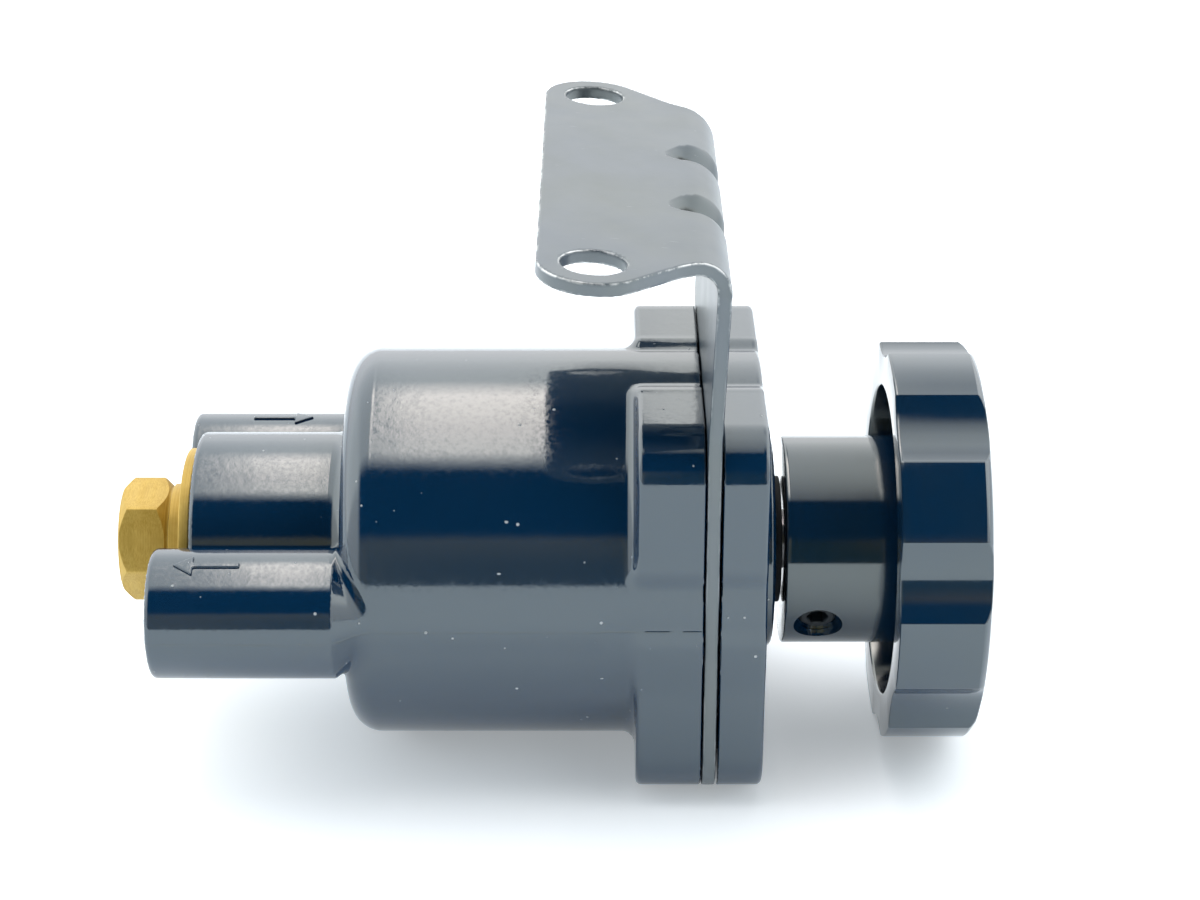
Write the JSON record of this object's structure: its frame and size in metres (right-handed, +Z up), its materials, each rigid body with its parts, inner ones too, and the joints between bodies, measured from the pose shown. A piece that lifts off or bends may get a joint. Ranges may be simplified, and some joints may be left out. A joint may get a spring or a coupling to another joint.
{
  "type": "hand-knob pressure regulating valve with bracket",
  "caption": "Hand-knob pressure regulating valve: cast body with two parallel rear ports and a brass bottom plug, square flange, bent mounting bracket and scalloped knob.",
  "frame": {"origin": "middle of the bracket's top mounting face, between its two bolt holes", "axes": "+X along the valve axis towards the knob, +Y from the outlet port to the inlet port, +Z up, away from the valve through the mounting face; the valve axis is 62.3 mm below the origin"},
  "size_m": [0.1375, 0.0918, 0.0946],
  "materials": {
    "body_enamel": "gloss black enamel over a die casting",
    "bracket_sheet": "satin black coating, worn bright on the edges",
    "knob_anodised": "satin black anodised, turned",
    "brass": "machined",
    "bronze": "machined bearing bronze",
    "steel": "machined",
    "black_steel": "black oxide",
    "rubber": "moulded nitrile",
    "fibre": "compressed fibre sheet"
  },
  "bodies": {
    "housing": {"valve_body": "body_enamel", "cover": "body_enamel", "mounting_bracket": "bracket_sheet", "cover_gasket": "fibre", "cover_screw_1": "black_steel", "cover_screw_2": "black_steel", "cover_screw_3": "black_steel", "cover_screw_4": "black_steel", "bottom_plug": "brass", "plug_o_ring": "rubber", "poppet_spring": "steel", "valve_seat": "brass", "seat_o_ring": "rubber", "range_spring": "steel", "guide_pin_near": "steel", "guide_pin_far": "steel", "stem_bushing": "bronze", "stem_o_ring": "rubber"},
    "knob_group": {"knob": "knob_anodised", "knob_set_screw": "black_steel", "stem": "steel", "thrust_washer": "bronze", "retaining_ring": "black_steel", "neck_washer": "fibre"},
    "nut_group": {"spring_nut": "brass"},
    "piston_group": {"piston": "bronze", "piston_seal": "rubber"},
    "poppet_group": {"poppet": "brass", "poppet_seal": "rubber"}
  },
  "joints": [
    {"name": "knob_turn", "type": "hinge", "parent": "housing", "child": "knob_group", "pos_m": [0.03, 0, -0.0623], "axis": [-1, 0, 0], "range_deg": [0, 1000]},
    {"name": "nut_slide", "type": "slide", "parent": "housing", "child": "nut_group", "axis": [-1, 0, 0], "range_m": [0, 0.00442], "deforming": ["range_spring"]},
    {"name": "piston_slide", "type": "slide", "parent": "housing", "child": "piston_group", "axis": [-1, 0, 0], "range_m": [0, 0.0016], "stiffness_N_per_m": 400},
    {"name": "poppet_slide", "type": "slide", "parent": "housing", "child": "poppet_group", "axis": [-1, 0, 0], "range_m": [0, 0.0016], "deforming": ["poppet_spring"]}
  ],
  "couplings": [
    {"joint": "nut_slide", "follows": "knob_turn", "m_per_rad": 0.00025266},
    {"joint": "poppet_slide", "follows": "piston_slide", "ratio": 1}
  ]
}
